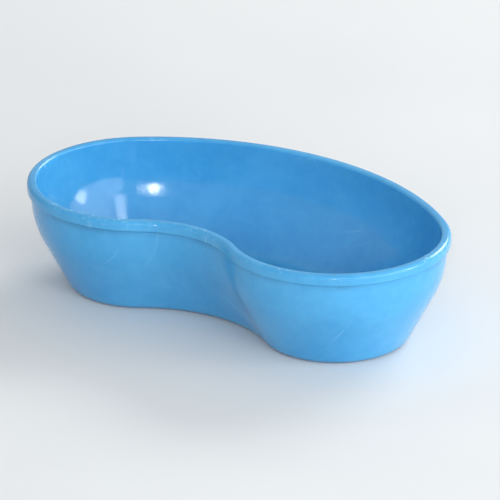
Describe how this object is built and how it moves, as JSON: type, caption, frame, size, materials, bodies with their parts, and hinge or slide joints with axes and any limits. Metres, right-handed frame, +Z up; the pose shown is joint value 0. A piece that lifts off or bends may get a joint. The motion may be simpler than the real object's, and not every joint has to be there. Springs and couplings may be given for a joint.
{
  "type": "kidney dish",
  "caption": "Open kidney-shaped dish with a beaded rim, flared sides and a low foot ring, for instruments, dressings and waste.",
  "frame": {"origin": "on the surface the dish stands on, under the middle of the rim's bounding box", "axes": "+X along the dish, +Y towards its round back, -Y towards its hollow waist, +Z up out of the bowl"},
  "size_m": [0.2, 0.116, 0.048],
  "materials": {
    "blue_polypropylene": "gloss"
  },
  "bodies": {
    "root": {"dish_body": "blue_polypropylene"}
  },
  "joints": []
}
